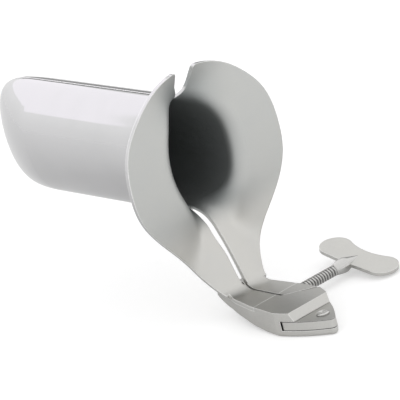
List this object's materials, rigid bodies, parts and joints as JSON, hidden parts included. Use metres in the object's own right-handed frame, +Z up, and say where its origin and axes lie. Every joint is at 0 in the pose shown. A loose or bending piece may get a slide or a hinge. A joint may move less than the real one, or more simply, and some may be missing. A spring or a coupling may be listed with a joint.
{
  "type": "bivalve speculum with screw opening",
  "caption": "Bivalve speculum: two half-tube valves with flared mouths on arms that meet in a riveted box joint, opened by a winged thumbscrew.",
  "frame": {"origin": "on the axis of the closed working channel, level with the front of the mouth", "axes": "+Y along the closed blades towards the rounded nose, +Z up through the notch between the lobes, +X to the side of the thumbscrew; the two valves part at X = 0"},
  "size_m": [0.0679, 0.1416, 0.0762],
  "materials": {
    "polished_steel": "mirror polished",
    "satin_steel": "satin",
    "rivet_steel": "satin",
    "screw_steel": "bright turned"
  },
  "bodies": {
    "left_valve": {"left_valve_shell": "polished_steel", "left_box_joint": "satin_steel", "hinge_rivet": "rivet_steel"},
    "right_valve": {"right_valve_shell": "polished_steel", "right_joint_tongue": "satin_steel"},
    "thrust_collar": {"screw_thrust_collar": "screw_steel"},
    "thumbscrew": {"screw_spindle": "screw_steel", "screw_wing": "satin_steel"}
  },
  "joints": [
    {"name": "valve_hinge", "type": "hinge", "parent": "left_valve", "child": "right_valve", "pos_m": [-0.0013, -0.0425, -0.0488], "axis": [0, 0, -1], "range_deg": [0, 18.02]},
    {"name": "screw_travel", "type": "slide", "parent": "right_valve", "child": "thrust_collar", "axis": [-1, 0, 0], "range_m": [0, 0.0072]},
    {"name": "screw_turn", "type": "hinge", "parent": "thrust_collar", "child": "thumbscrew", "pos_m": [0.02, -0.0196, -0.0447], "axis": [-1, 0, 0], "range_deg": [0, 2592]}
  ],
  "couplings": [
    {"joint": "valve_hinge", "follows": "screw_turn", "ratio": 0.00695},
    {"joint": "screw_travel", "follows": "screw_turn", "m_per_rad": 0.00015915}
  ]
}
